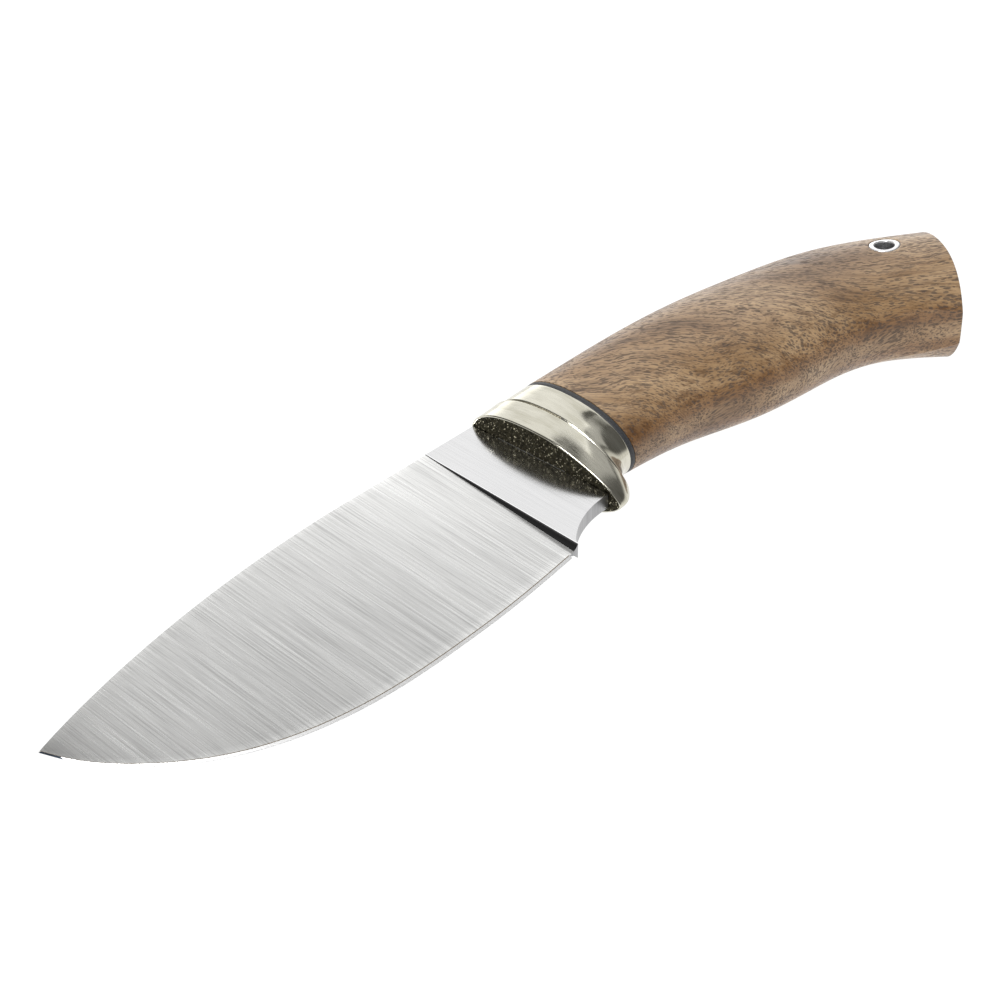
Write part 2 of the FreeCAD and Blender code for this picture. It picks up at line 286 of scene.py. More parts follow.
class Nodes:
    """Short way to write a node material. Place is in metres, and turned() gives it per millimetre."""

    def __init__(self, name):
        self.material = bpy.data.materials.new(name)
        self.material.use_nodes = True
        self.tree = self.material.node_tree
        self.shader = self.tree.nodes["Principled BSDF"]
        self.place = self.add("ShaderNodeTexCoord").outputs["Object"]

    def add(self, kind, **values):
        node = self.tree.nodes.new(kind)
        for key, value in values.items():
            setattr(node, key, value)
        return node

    def link(self, source, target):
        self.tree.links.new(source, target)

    def fill(self, socket, value):
        if isinstance(value, bpy.types.NodeSocket):
            self.link(value, socket)
        else:
            socket.default_value = value

    def turned(self, angle, scale):
        """Object place turned about Z and scaled per axis, per millimetre."""
        turn = self.add("ShaderNodeMapping", vector_type="POINT")
        turn.inputs["Rotation"].default_value = (0.0, 0.0, angle)
        self.link(self.place, turn.inputs["Vector"])
        size = self.add("ShaderNodeMapping", vector_type="POINT")
        size.inputs["Scale"].default_value = tuple(s * PER_METRE for s in scale)
        self.link(turn.outputs["Vector"], size.inputs["Vector"])
        return size.outputs["Vector"]

    def noise(self, vector, detail=2.0, rough=0.5):
        node = self.add("ShaderNodeTexNoise")
        self.link(vector, node.inputs["Vector"])
        node.inputs["Scale"].default_value = 1.0
        node.inputs["Detail"].default_value = detail
        node.inputs["Roughness"].default_value = rough
        return node.outputs["Fac"]

    def voronoi(self, vector, output="Distance"):
        node = self.add("ShaderNodeTexVoronoi", feature="F1")
        self.link(vector, node.inputs["Vector"])
        node.inputs["Scale"].default_value = 1.0
        return node.outputs[output]

    def ramp(self, factor, stops):
        """Colour by a factor. Each stop is (position, colour), and a number stands for a grey."""
        node = self.add("ShaderNodeValToRGB")
        elements = node.color_ramp.elements
        while len(elements) < len(stops):
            elements.new(0.5)
        for element, (position, colour) in zip(elements, stops):
            element.position = position
            if isinstance(colour, (int, float)):
                colour = (colour, colour, colour)
            element.color = (*colour, 1.0)
        self.link(factor, node.inputs["Fac"])
        return node.outputs["Color"]

    def math(self, operation, first, second=0.0, clamp=False):
        node = self.add("ShaderNodeMath", operation=operation, use_clamp=clamp)
        self.fill(node.inputs[0], first)
        self.fill(node.inputs[1], second)
        return node.outputs[0]

    def span(self, value, low, high, to_low=0.0, to_high=1.0):
        """Value carried from one range to another, and kept inside it."""
        node = self.add("ShaderNodeMapRange")
        self.fill(node.inputs["Value"], value)
        ends = {"From Min": low, "From Max": high, "To Min": to_low, "To Max": to_high}
        for key, number in ends.items():
            node.inputs[key].default_value = number
        return node.outputs["Result"]

    def mix(self, factor, first, second, blend="MIX"):
        node = self.add("ShaderNodeMix", data_type="RGBA", blend_type=blend)
        self.fill(node.inputs["Factor"], factor)
        for socket, value in ((node.inputs[6], first), (node.inputs[7], second)):
            if isinstance(value, tuple) and len(value) == 3:
                value = (*value, 1.0)
            self.fill(socket, value)
        return node.outputs[2]

    def axis(self, vector, name):
        node = self.add("ShaderNodeSeparateXYZ")
        self.link(vector, node.inputs["Vector"])
        return node.outputs[name]

    def bump(self, height, strength, distance, below=None):
        node = self.add("ShaderNodeBump")
        node.inputs["Strength"].default_value = strength
        node.inputs["Distance"].default_value = distance * MM
        self.link(height, node.inputs["Height"])
        if below is not None:
            self.link(below, node.inputs["Normal"])
        return node.outputs["Normal"]

    def finish(self, colour=None, roughness=None, normal=None, metallic=0.0, **values):
        self.shader.inputs["Metallic"].default_value = metallic
        if colour is not None:
            self.fill(self.shader.inputs["Base Color"], colour)
        if roughness is not None:
            self.fill(self.shader.inputs["Roughness"], roughness)
        if normal is not None:
            self.link(normal, self.shader.inputs["Normal"])
        for key, value in values.items():
            self.shader.inputs[key.replace("_", " ")].default_value = value
        return self.material


def brushed_lines(n):
    """Long fine scratches near the Y axis, as a value around one half."""
    fine = n.noise(n.turned(BRUSH_SLANT, (6.0, 0.06, 0.05)), detail=3.0, rough=0.7)
    long = n.noise(n.turned(BRUSH_SLANT, (2.8, 0.02, 0.02)), detail=4.0, rough=0.7)
    broad = n.noise(n.turned(BRUSH_SLANT, (0.30, 0.01, 0.01)), detail=2.0, rough=0.5)
    lines = n.math("ADD", n.math("MULTIPLY", fine, 0.45), n.math("MULTIPLY", long, 0.45))
    return n.math("ADD", lines, n.math("MULTIPLY", broad, 0.10))


def steel(name, tint, rough, line_strength, bump_strength, graded=False):
    """Brushed steel. Graded steel has painted shade toward the edge and in the middle of its length, and
    painted highlights along both borders."""
    n = Nodes(name)
    lines = brushed_lines(n)
    low = tuple(c * (1.0 - line_strength) for c in tint)
    high = tuple(min(1.0, c * (1.0 + line_strength * 0.7)) for c in tint)
    colour = n.ramp(lines, [(0.40, low), (0.5, tint), (0.60, high)])
    if graded:
        border = n.add("ShaderNodeTexCoord").outputs["UV"]
        from_spine = n.axis(border, "X")
        from_edge = n.axis(border, "Y")
        # painted shade: darker in the middle of the blade's length
        tone_factor = n.ramp(n.span(n.axis(n.place, "X"), -0.110, 0.0),
                      [(0.0, 1.0), (0.30, 0.80), (0.60, 0.86), (0.78, 1.0), (1.0, 1.0)])
        # painted shade toward the edge, and painted highlights along the spine and along the edge
        painted_shade = n.math("MULTIPLY", n.span(from_spine, 0.0, 3.0, 1.0, 0.86), tone_factor)
        painted_spine_highlight = n.span(from_spine, 0.0, 0.16, 0.10, 0.0)
        painted_edge_highlight = n.span(from_edge, 0.0, 0.26, 0.22, 0.0)
        light = n.math("ADD", painted_shade, n.math("ADD", painted_spine_highlight, painted_edge_highlight))
        colour = n.mix(1.0, colour, light, "MULTIPLY")
    roughness = n.span(lines, 0.35, 0.65, rough * 1.15, rough * 0.85)
    return n.finish(colour, roughness, n.bump(lines, bump_strength, 0.02), 1.0)


def polished_steel(name, tint, rough):
    n = Nodes(name)
    lines = n.noise(n.turned(0.0, (9.0, 0.08, 0.08)), detail=3.0, rough=0.6)
    colour = n.ramp(lines, [(0.3, tuple(c * 0.97 for c in tint)), (0.7, tint)])
    roughness = n.span(lines, 0.3, 0.7, rough * 0.8, rough * 1.25)
    return n.finish(colour, roughness, n.bump(lines, 0.06, 0.01), 1.0)


def nickel_silver():
    n = Nodes("nickel_silver_polished")
    lines = n.noise(n.turned(0.0, (7.0, 0.30, 0.30)), detail=3.0, rough=0.7)
    smear = n.noise(n.turned(0.0, (0.5, 0.16, 0.16)), detail=2.0)
    mixed = n.math("ADD", n.math("MULTIPLY", smear, 0.55), n.math("MULTIPLY", lines, 0.45))
    colour = n.ramp(mixed, [(0.38, (0.52, 0.50, 0.415)), (0.5, (0.62, 0.60, 0.515)),
                            (0.62, (0.68, 0.66, 0.57))])
    roughness = n.span(mixed, 0.4, 0.6, 0.10, 0.20)
    return n.finish(colour, roughness, n.bump(lines, 0.14, 0.012), 1.0)


def stippled_face():
    """Dark patina left in the punched pits, with bare metal on the crests."""
    n = Nodes("bolster_stippled_patina")
    place = n.turned(0.0, (3.0, 3.0, 3.0))
    cells = n.voronoi(place, output="Distance")
    pick = n.axis(n.voronoi(place, output="Color"), "X")
    crest = n.math("MULTIPLY", n.span(cells, 0.46, 0.20), n.span(pick, 0.66, 0.74))
    crest = n.math("MINIMUM", crest, 1.0, clamp=True)
    stain = n.noise(n.turned(0.0, (1.2, 1.2, 1.2)), detail=3.0)
    dark = n.ramp(stain, [(0.3, (0.022, 0.020, 0.013)), (0.7, (0.070, 0.063, 0.040))])
    colour = n.mix(crest, dark, (1.0, 0.93, 0.70))
    roughness = n.span(crest, 0.0, 1.0, 0.5, 0.30)
    fine = n.noise(n.turned(0.0, (4.0, 4.0, 4.0)), detail=3.0, rough=0.6)
    return n.finish(colour, roughness, n.bump(fine, 0.8, 0.15), 1.0)


# darker, gritty metal, laid only on the spine side of the groove
def darkened_groove():
    n = Nodes("bolster_groove_darkened")
    grit = n.noise(n.turned(0.0, (3.2, 3.2, 3.2)), detail=3.0, rough=0.7)
    colour = n.ramp(grit, [(0.35, (0.14, 0.125, 0.085)), (0.62, (0.55, 0.51, 0.39))])
    return n.finish(colour, 0.45, n.bump(grit, 0.6, 0.08), 1.0)


def spacer_fibre():
    n = Nodes("spacer_black_fibre")
    grain = n.noise(n.turned(0.0, (3.0, 6.0, 6.0)), detail=4.0, rough=0.65)
    colour = n.ramp(grain, [(0.3, (0.018, 0.019, 0.022)), (0.7, (0.055, 0.057, 0.062))])
    return n.finish(colour, n.span(grain, 0.3, 0.7, 0.42, 0.62), n.bump(grain, 0.35, 0.04))


def walnut():
    """Figured walnut: fibres lie slantwise in plan, with streaks, growth rings and open pores, and painted
    shade along the belly.
    """
    n = Nodes("walnut_oiled")
    wander = n.noise(n.turned(GRAIN_TURN, (0.035, 0.055, 0.06)), detail=2.0)
    swing = n.math("SUBTRACT", wander, 0.5)
    push = n.add("ShaderNodeCombineXYZ")
    for key, reach in (("X", 4.0), ("Y", 11.0), ("Z", 6.0)):
        n.link(n.math("MULTIPLY", swing, reach), push.inputs[key])
    bent = n.add("ShaderNodeVectorMath", operation="ADD")
    n.link(n.turned(GRAIN_TURN, (1.0, 1.0, 1.0)), bent.inputs[0])
    n.link(push.outputs["Vector"], bent.inputs[1])

    def along(x, y, z):
        """Place in the wandering grain, scaled per millimetre along and across it."""
        size = n.add("ShaderNodeMapping", vector_type="POINT")
        size.inputs["Scale"].default_value = (x, y, z)
        n.link(bent.outputs["Vector"], size.inputs["Vector"])
        return size.outputs["Vector"]

    broad = n.noise(along(0.03, 0.10, 0.11), detail=2.0, rough=0.5)
    streak = n.noise(along(0.05, 0.75, 0.8), detail=4.0, rough=0.65)
    fibre = n.noise(along(0.16, 3.0, 3.0), detail=3.0, rough=0.65)
    base = n.ramp(broad, [(0.32, (0.245, 0.143, 0.068)), (0.48, (0.360, 0.225, 0.115)),
                          (0.64, (0.490, 0.335, 0.195))])
    tone = n.ramp(streak, [(0.36, (0.48, 0.43, 0.40)), (0.47, (0.88, 0.86, 0.84)),
                           (0.60, (1.0, 1.0, 1.0))])
    colour = n.mix(0.80, base, tone, "MULTIPLY")
    thread = n.ramp(fibre, [(0.36, (0.50, 0.46, 0.43)), (0.50, (1.0, 1.0, 1.0)),
                            (0.66, (1.12, 1.10, 1.06))])
    colour = n.mix(0.90, colour, thread, "MULTIPLY")

    # painted shade: a darker, redder band runs along the belly on each side
    side = n.math("ABSOLUTE", n.axis(n.place, "Z"))
    below = n.math("ADD", n.axis(n.place, "Y"), n.math("MULTIPLY", n.axis(n.place, "X"), 0.15))
    belly = n.span(below, -0.0045, -0.0095)
    belly = n.math("MINIMUM", belly, 1.0, clamp=True)
    offset = n.math("ADD", side, n.math("MULTIPLY", n.math("SUBTRACT", streak, 0.5), 0.004))
    painted_belly_shade = n.math("MULTIPLY", n.span(offset, 0.0012, 0.0026), n.span(offset, 0.0062, 0.0040))
    colour = n.mix(n.math("MULTIPLY", n.math("MULTIPLY", painted_belly_shade, belly), 0.85), colour,
                   n.mix(1.0, colour, (0.62, 0.48, 0.32), "MULTIPLY"))

    # thin dark growth rings, a layer apart in height and bent by the grain
    height = n.axis(n.place, "Z")
    layer_height = 2.6
    layer = n.math("ADD", n.math("MULTIPLY", height, PER_METRE / layer_height),
                   n.math("MULTIPLY", swing, 3.0))
    wave = n.math("ABSOLUTE", n.math("SUBTRACT", n.math("FRACT", layer), 0.5))
    ring = n.math("MINIMUM", n.span(wave, 0.0, 0.022, 1.0, 0.0), 1.0, clamp=True)
    colour = n.mix(n.math("MULTIPLY", ring, 0.45), colour, (0.15, 0.08, 0.035))

    # open pores, long along the grain, in two sizes that come and go over the wood
    size = n.noise(along(0.08, 0.35, 0.35), detail=2.0)

    def pores(x, y, low, high):
        cells = n.voronoi(along(x, y, y), output="Distance")
        gap = n.math("SUBTRACT", cells, n.span(size, 0.38, 0.62, low, high))
        return n.math("MINIMUM", n.span(gap, -0.05, 0.06, 1.0, 0.0), 1.0, clamp=True)

    pore = n.math("MAXIMUM", pores(0.42, 1.9, 0.25, 0.38), pores(0.75, 2.7, 0.22, 0.36))
    colour = n.mix(n.math("MULTIPLY", pore, 0.66), colour, (0.060, 0.046, 0.040))

    relief = n.math("SUBTRACT", n.math("MULTIPLY", fibre, 0.35), pore)
    roughness = n.span(pore, 0.0, 1.0, 0.36, 0.75)
    return n.finish(colour, roughness, n.bump(relief, 0.3, 0.05), 0.0,
                    Specular_IOR_Level=0.5, Coat_Weight=0.22, Coat_Roughness=0.16)


def plain_metal(name, tint, rough):
    n = Nodes(name)
    tone_factor = n.noise(n.turned(0.0, (5.0, 5.0, 5.0)), detail=3.0)
    colour = n.ramp(tone_factor, [(0.3, tuple(c * 0.93 for c in tint)), (0.7, tint)])
    roughness = n.span(tone_factor, 0.3, 0.7, rough * 0.8, rough * 1.3)
    return n.finish(colour, roughness, n.bump(tone_factor, 0.1, 0.02), 1.0)


def plain_dark(name, tint, rough):
    n = Nodes(name)
    tone_factor = n.noise(n.turned(0.0, (4.0, 4.0, 4.0)), detail=3.0)
    colour = n.ramp(tone_factor, [(0.3, tuple(c * 0.7 for c in tint)), (0.7, tint)])
    return n.finish(colour, rough, n.bump(tone_factor, 0.2, 0.03))


# ---------------------------------------------------------------- blade

def arc_through(first, middle, last, count):
    """Points of the circular arc through three plan points."""
    ax, ay = first
    bx, by = middle
    cx, cy = last
    a2, b2, c2 = ax * ax + ay * ay, bx * bx + by * by, cx * cx + cy * cy
    d = 2.0 * (ax * (by - cy) + bx * (cy - ay) + cx * (ay - by))
    ux = (a2 * (by - cy) + b2 * (cy - ay) + c2 * (ay - by)) / d
    uy = (a2 * (cx - bx) + b2 * (ax - cx) + c2 * (bx - ax)) / d
    radius = math.hypot(ax - ux, ay - uy)
    start = math.atan2(ay - uy, ax - ux)
    turn = math.remainder(math.atan2(cy - uy, cx - ux) - start, 2.0 * math.pi)
    angles = start + turn * np.linspace(0.0, 1.0, count)
    return np.stack([ux + radius * np.cos(angles), uy + radius * np.sin(angles)], axis=1)


def edge_line():
    """The cutting edge as a smooth function of its own length, from the heel to the tip."""
    points = np.array(EDGE)
    length = np.concatenate([[0.0], np.cumsum(np.hypot(*np.diff(points, axis=0).T))])
    return natural_spline(length, points[:, 0]), natural_spline(length, points[:, 1]), length[-1]


def spine_y(x):
    """Back of the blade: straight, then one large arc down to the tip."""
    drop = SPINE_Y - TIP[1]
    run = SPINE_DROP_X - TIP[0]
    radius = (run * run + drop * drop) / (2.0 * drop)
    along = np.maximum(SPINE_DROP_X - np.asarray(x, float), 0.0)
    return SPINE_Y - radius + np.sqrt(radius * radius - along * along)


def blade_half(y, edge_y):
    """Half thickness over the flat grind, by the height above the edge."""
    return np.minimum(STOCK_HALF, BEVEL_Z + GRIND_SLOPE * (y - edge_y - BEVEL_WIDTH))


def build_blade(materials):
    """The ground bar with its tang. The materials are in the order of the zones."""
    edge_x, edge_y, edge_length = edge_line()
    dense = np.linspace(0.0, edge_length, EDGE_SAMPLES)
    ex, ey = edge_x(dense), edge_y(dense)

    def edge_at(x):
        return np.interp(-np.asarray(x, float), -ex, ey)

    spread = np.linspace(0.0, 1.0, GRIND_COLUMNS)
    spread = 1.0 - (1.0 - spread) ** GRIND_CROWDING
    tops = PLUNGE_SPINE_X + (TIP[0] - PLUNGE_SPINE_X) * spread
    heel_x = EDGE[0][0]
    feet = heel_x + (TIP[0] - heel_x) * spread
    verts = []
    faces = []
    zones = []

    def add_grid(grid, zone):
        """Both sides of the blade at once; the lower side is the mirror."""
        grid = np.asarray(grid, float)
        rows, columns = grid.shape[:2]
        for side in (1.0, -1.0):
            start = len(verts)
            verts.extend((grid * (1.0, 1.0, side)).reshape(-1, 3))
            faces.extend(loop_faces(rows, columns, start, closed=False))
            zones.extend([zone] * ((rows - 1) * (columns - 1)))

    def add_wall(line):
        """Wall between the two sides along a line of (x, y, half thickness)."""
        line = np.asarray(line, float)
        shares = np.linspace(1.0, -1.0, WALL_STEPS)
        start = len(verts)
        verts.extend(np.concatenate([line * (1.0, 1.0, share) for share in shares]))
        faces.extend(loop_faces(WALL_STEPS, len(line), start, closed=False))
        zones.extend([WALL_ZONE] * ((WALL_STEPS - 1) * (len(line) - 1)))

    top_y = spine_y(tops)
    foot_y = edge_at(feet)
    shoulder_y = np.minimum(foot_y + BEVEL_WIDTH, foot_y + 0.75 * (top_y - foot_y))
    grind = np.zeros((GRIND_COLUMNS, GRIND_ROWS, 3))
    for j in range(GRIND_ROWS):
        share = j / (GRIND_ROWS - 1)
        x = tops + (feet - tops) * share
        y = top_y + (shoulder_y - top_y) * share
        grind[:, j, 0] = x
        grind[:, j, 1] = y
        local_edge = edge_at(np.minimum(x, heel_x))
        grind[:, j, 2] = np.maximum(BEVEL_Z * 0.6, blade_half(y, local_edge))
    grind[:, -1, 2] = np.minimum(BEVEL_Z, EDGE_HALF + (shoulder_y - foot_y) * BEVEL_Z / BEVEL_WIDTH)
    grind[:, 0, 2] = np.minimum(grind[:, 0, 2], STOCK_HALF)
    add_grid(grind, GRIND_ZONE)
    bevel = np.zeros((GRIND_COLUMNS, BEVEL_ROWS, 3))
    for j in range(BEVEL_ROWS):
        share = j / (BEVEL_ROWS - 1)
        bevel[:, j, 0] = feet
        bevel[:, j, 1] = shoulder_y + (foot_y - shoulder_y) * share
        bevel[:, j, 2] = grind[:, -1, 2] + (EDGE_HALF - grind[:, -1, 2]) * share
    facet_start = int(np.argmax(feet < TIP[0] + TIP_FACET))
    add_grid(bevel[:facet_start + 1], BEVEL_ZONE)
    add_grid(bevel[facet_start:], FACET_ZONE)
    dark_strip = np.stack([grind[:, -1], grind[:, -1]], axis=1)
    dark_strip[:, 0] += (0.0, DARK_STRIP_WIDTH, DARK_STRIP_LIFTS[0])
    dark_strip[:, 1] += (0.0, 0.0, DARK_STRIP_LIFTS[1])
    add_grid(dark_strip, DARK_STRIP_ZONE)

    # run-out of the grind: the first grind column, swept up to the ricasso along a widening arc
    column = grind[0]
    share = np.clip((SPINE_Y - column[:, 1]) / (SPINE_Y - PLUNGE_HEEL_Y), 0.0, 1.1)
    depth = STOCK_HALF - column[:, 2]
    radius = np.maximum(PLUNGE_RADIUS * share, depth + 1e-4)
    width = np.sqrt(np.maximum(2.0 * radius * depth - depth * depth, 1e-8))
    plunge = np.zeros((PLUNGE_STEPS, GRIND_ROWS, 3))
    for i in range(PLUNGE_STEPS):
        run = width * i / (PLUNGE_STEPS - 1)
        plunge[i, :, 0] = column[:, 0] + run
        plunge[i, :, 1] = column[:, 1]
        plunge[i, :, 2] = column[:, 2] + radius - np.sqrt(np.maximum(radius ** 2 - run ** 2, 0.0))
    plunge[-1, :, 2] = STOCK_HALF
    add_grid(plunge[:PLUNGE_SATIN + 1], GRIND_ZONE)
    add_grid(plunge[PLUNGE_SATIN:], PLUNGE_ZONE)

    # the ricasso runs from the plunge line to the bolster; its lower border is the heel and the notch
    heel_arc = arc_through(EDGE[0], HEEL_CORNER, CHOIL_END, 9)
    line_x = plunge[-1, :, 0]
    line_y = plunge[-1, :, 1]
    low_x = line_x[-1]
    down = (SPINE_Y - line_y) / (SPINE_Y - line_y[-1])
    ricasso = np.zeros((RICASSO_STEPS, GRIND_ROWS, 3))
    for i in range(RICASSO_STEPS):
        share = i / (RICASSO_STEPS - 1)
        bottom_x = low_x * (1.0 - share)
        reach = max(0.0, CHOIL_RADIUS ** 2 - (bottom_x - CHOIL_CENTRE[0]) ** 2)
        bottom_y = CHOIL_CENTRE[1] + math.sqrt(reach)
        if bottom_x < CHOIL_END[0]:
            bottom_y = np.interp(bottom_x, heel_arc[:, 0], heel_arc[:, 1])
        ricasso[i, :, 0] = line_x * (1.0 - share)
        ricasso[i, :, 1] = SPINE_Y + (bottom_y - SPINE_Y) * down
    ricasso[:, :, 2] = STOCK_HALF
    add_grid(ricasso, RICASSO_ZONE)
    # painted highlight: a flat strip of pure-white metal along the end of the grind
    highlight_strip = np.stack([plunge[-1], plunge[-1]])
    highlight_strip[0] += (0.0, 0.0, HIGHLIGHT_STRIP_LIFT)
    highlight_strip[1] += (HIGHLIGHT_STRIP_WIDTH, 0.0, HIGHLIGHT_STRIP_LIFT)
    add_grid(highlight_strip, HIGHLIGHT_STRIP_ZONE)

    straight = [(0.0, SPINE_Y, STOCK_HALF), (PLUNGE_SPINE_X, SPINE_Y, STOCK_HALF)]
    add_wall(np.concatenate([straight, grind[:, 0]]))
    add_wall(ricasso[:, -1])
    add_wall(np.concatenate([bevel[0, ::-1], plunge[:, -1]]))

    tang_line = [(0.0, TANG_ROOT), (TANG_LENGTH, TANG_TIP[0]), (TANG_LENGTH, TANG_TIP[1]),
                 (0.0, -TANG_ROOT)]
    start = len(verts)
    for side in (1.0, -1.0):
        verts.extend([(x, y, STOCK_HALF * side) for x, y in tang_line])
    faces += [(start, start + 1, start + 2, start + 3), (start + 7, start + 6, start + 5, start + 4)]
    faces += [(start + i, start + 4 + i, start + 4 + (i + 1) % 4, start + (i + 1) % 4) for i in range(4)]
    zones += [TANG_ZONE] * 6

    piece = make_object("blade_ground", verts, faces, materials, zones)
    tidy_mesh(piece, sharp=math.radians(10.0))
    # place on the blade for the satin's painted shade and highlights: centimetres below the spine and
    # above the edge
    borders = piece.data.uv_layers.new(name="borders_cm")
    for loop in piece.data.loops:
        x, y, _ = piece.data.vertices[loop.vertex_index].co / MM
        from_spine = float(spine_y(np.array([x]))[0]) - y
        borders.data[loop.index].uv = (0.1 * from_spine, 0.1 * (y - float(edge_at(x))))
    finish_piece(piece, "blade")


# ---------------------------------------------------------------- bolster and spacer

def ring_row(rows, x):
    """Section row at any place along a ring, from splines through the given rows."""
    table = np.array(rows)
    return (x, *[float(natural_spline(table[:, 0], table[:, i])(x)) for i in range(1, 6)])


def upright_section(row, angles, inset):
    """Points of a section row, all of them moved in by the inset."""
    x, top_y, bottom_y, half, belly, egg = row
    return section((x, top_y - inset), (x, bottom_y + inset), half - inset, belly, egg, angles)


def bolster_row(x):
    """Section of the casting at any place; across the groove it passes evenly from ring to ring."""
    if x < RING_END:
        return (x,) + ring_row(FRONT_RING, max(x, FRONT_RING[0][0]))[1:]
    if x > GROOVE_END:
        return ring_row(REAR_RING, x)
    share = (x - RING_END) / (GROOVE_END - RING_END)
    return (x,) + tuple(a + (b - a) * share for a, b in zip(FRONT_RING[-1][1:], REAR_RING[0][1:]))


def build_bolster(materials):
    """One casting: eased rim, front ring, groove, rear ring. Zone 1 is the darker, spine side of the
    groove.
    """
    angles = ring_angles()
    profile = list(RIM_PROFILE)
    profile += [(x, 0.0) for x in np.linspace(0.5, 5.3, 18)]
    groove_start = len(profile) + 2
    profile += GROOVE_PROFILE
    groove_end = len(profile) - 3
    profile += [(x, 0.0) for x in np.linspace(6.7, 11.85, 20)]
    profile += REAR_PROFILE
    rings = [upright_section(bolster_row(x), angles, inset) for x, inset in profile]
    columns = len(angles)
    spine_side = np.cos(angles) < 0.05
    zones = []
    for i in range(len(rings) - 1):
        darkened = groove_start <= i < groove_end
        zones += [1 if darkened and spine_side[j] else 0 for j in range(columns)]
    piece = make_object("bolster_casting", np.concatenate(rings), loop_faces(len(rings), columns),
                        materials, zones)
    tidy_mesh(piece, sharp=math.radians(60.0))
    finish_piece(piece, "bolster")


def inside_share(row, y, z, inset):
    """How far out of the section a point is: below 1 inside, 1 on the outline."""
    _, top_y, bottom_y, half, belly, egg = row
    middle = (top_y + bottom_y) / 2.0
    reach = (top_y - bottom_y) / 2.0 - inset
    across = (middle - y) / reach
    roundness = SPINE_ROUNDNESS if across < 0 else belly
    out = abs(z) / ((half - inset) * (1.0 + egg * np.clip(across, -1.0, 1.0)))
    return (abs(across) ** roundness + out ** roundness) ** (1.0 / roundness)


def build_stippled_face(material):
    """The bolster's punched front face: real pits on a fine grid, which the tang passes through."""
    row = FRONT_RING[0]
    _, top_y, bottom_y, half, _, _ = row
    ys = np.arange(bottom_y + PIT_MARGIN, top_y - PIT_MARGIN, PIT_STEP)
    zs = np.arange(-half, half + PIT_STEP, PIT_STEP)
    middle = (top_y + bottom_y) / 2.0
    verts = []
    for y in ys:
        for z in zs:
            share = inside_share(row, y, z, PIT_BORDER)
            py, pz = y, z
            if share > 1.0:
                py = middle + (y - middle) / share
                pz = z / share
            depth = PIT_DEPTH
            for scale, phase, height in PIT_WAVES:
                depth += height * noise.noise(Vector((py * scale, pz * scale, phase)))
            verts.append((min(max(depth, PIT_LIMITS[0]), PIT_LIMITS[1]), py, pz))
    faces = loop_faces(len(ys), len(zs), closed=False)
    piece = make_object("bolster_stippled_face", verts, faces, [material])
    work = bmesh.new()
    work.from_mesh(piece.data)
    thin = [face for face in work.faces if face.calc_area() < (PIT_STEP * MM) ** 2 * 0.02]
    bmesh.ops.delete(work, geom=thin, context="FACES")
    work.to_mesh(piece.data)
    work.free()
    finish_piece(piece, None)


def build_spacer(material):
    """Thin plate that follows the bolster's rear section, with eased borders."""
    angles = ring_angles()
    row = REAR_RING[-1]
    places = [(BOLSTER_LENGTH, 2.0), (BOLSTER_LENGTH, 0.10), (BOLSTER_LENGTH + 0.1, 0.03),
              (BOLSTER_LENGTH + 1.0, 0.0), (SPACER_END - 0.1, 0.03), (SPACER_END, 0.10), (SPACER_END, 2.0)]
    rings = [upright_section((x,) + row[1:], angles, inset) for x, inset in places]
    faces = loop_faces(len(rings), len(angles))
    piece = make_object("spacer_plate", np.concatenate(rings), faces, [material])
    tidy_mesh(piece, sharp=math.radians(50.0))
    finish_piece(piece, "spacer")


# ---------------------------------------------------------------- handle

def handle_surface():
    """Grid of points over the handle's flank, its last row on the domed butt, then the dome's centre,
    the middle of the butt and the way it faces."""
    top = [natural_spline(STATIONS, [p[i] for p in HANDLE_TOP]) for i in (0, 1)]
    bottom = [natural_spline(STATIONS, [p[i] for p in HANDLE_BOTTOM]) for i in (0, 1)]
    half = natural_spline(STATIONS, HALF_THICKNESS)
    belly = natural_spline(SHAPE_STATIONS, BELLY_ROUNDNESS)
    egg = natural_spline(SHAPE_STATIONS, EGG)
    butt_top = np.array(HANDLE_TOP[-1])
    butt_bottom = np.array(HANDLE_BOTTOM[-1])
    across = butt_bottom - butt_top
    outward = np.array([-across[1], across[0]]) / np.linalg.norm(across)
    middle = (butt_top + butt_bottom) / 2.0
    dome = np.array([*(middle - outward * BUTT_RADIUS), 0.0])

    def points(t, share):
        """Points at a share t of the length. Shares 0 to 1 are the belly, 1 to 2 the rest of the way."""
        turn = np.clip((t - 0.7) / 0.3, 0.0, 1.0)
        rise = np.maximum((t - 0.6) / 0.4, 0.0)
        crease = CREASE_FRONT - (CREASE_FRONT - CREASE_BUTT) * turn ** 2
        belly_part = share < 1.0
        angles = np.where(belly_part, -crease + 2.0 * crease * share,
                          crease + (2.0 * math.pi - 2.0 * crease) * (share - 1.0))
        return section((top[0](t), top[1](t)), (bottom[0](t), bottom[1](t)), half(t), belly(t), egg(t),
                       angles, crease, CREASE_RIDGE * rise ** 2)

    shares = np.concatenate([np.linspace(0.0, 1.0, BELLY_COLUMNS + 1)[:-1],
                             1.0 + np.linspace(0.0, 1.0, HANDLE_COLUMNS + 1)[:-1]])
    # halve the gap round the share of the length where each column meets the dome
    low = np.full(len(shares), 0.85)
    high = np.full(len(shares), 1.10)
    for _ in range(30):
        middle_t = (low + high) / 2.0
        beyond = np.linalg.norm(points(middle_t, shares) - dome, axis=1) > BUTT_RADIUS
        high = np.where(beyond, middle_t, high)
        low = np.where(beyond, low, middle_t)
    ends = (low + high) / 2.0
    last = HANDLE_RINGS - 1
    grid = np.stack([points(ends * i / last, shares) for i in range(HANDLE_RINGS)])
    return grid, dome, np.array([*middle, 0.0]), np.array([*outward, 0.0])


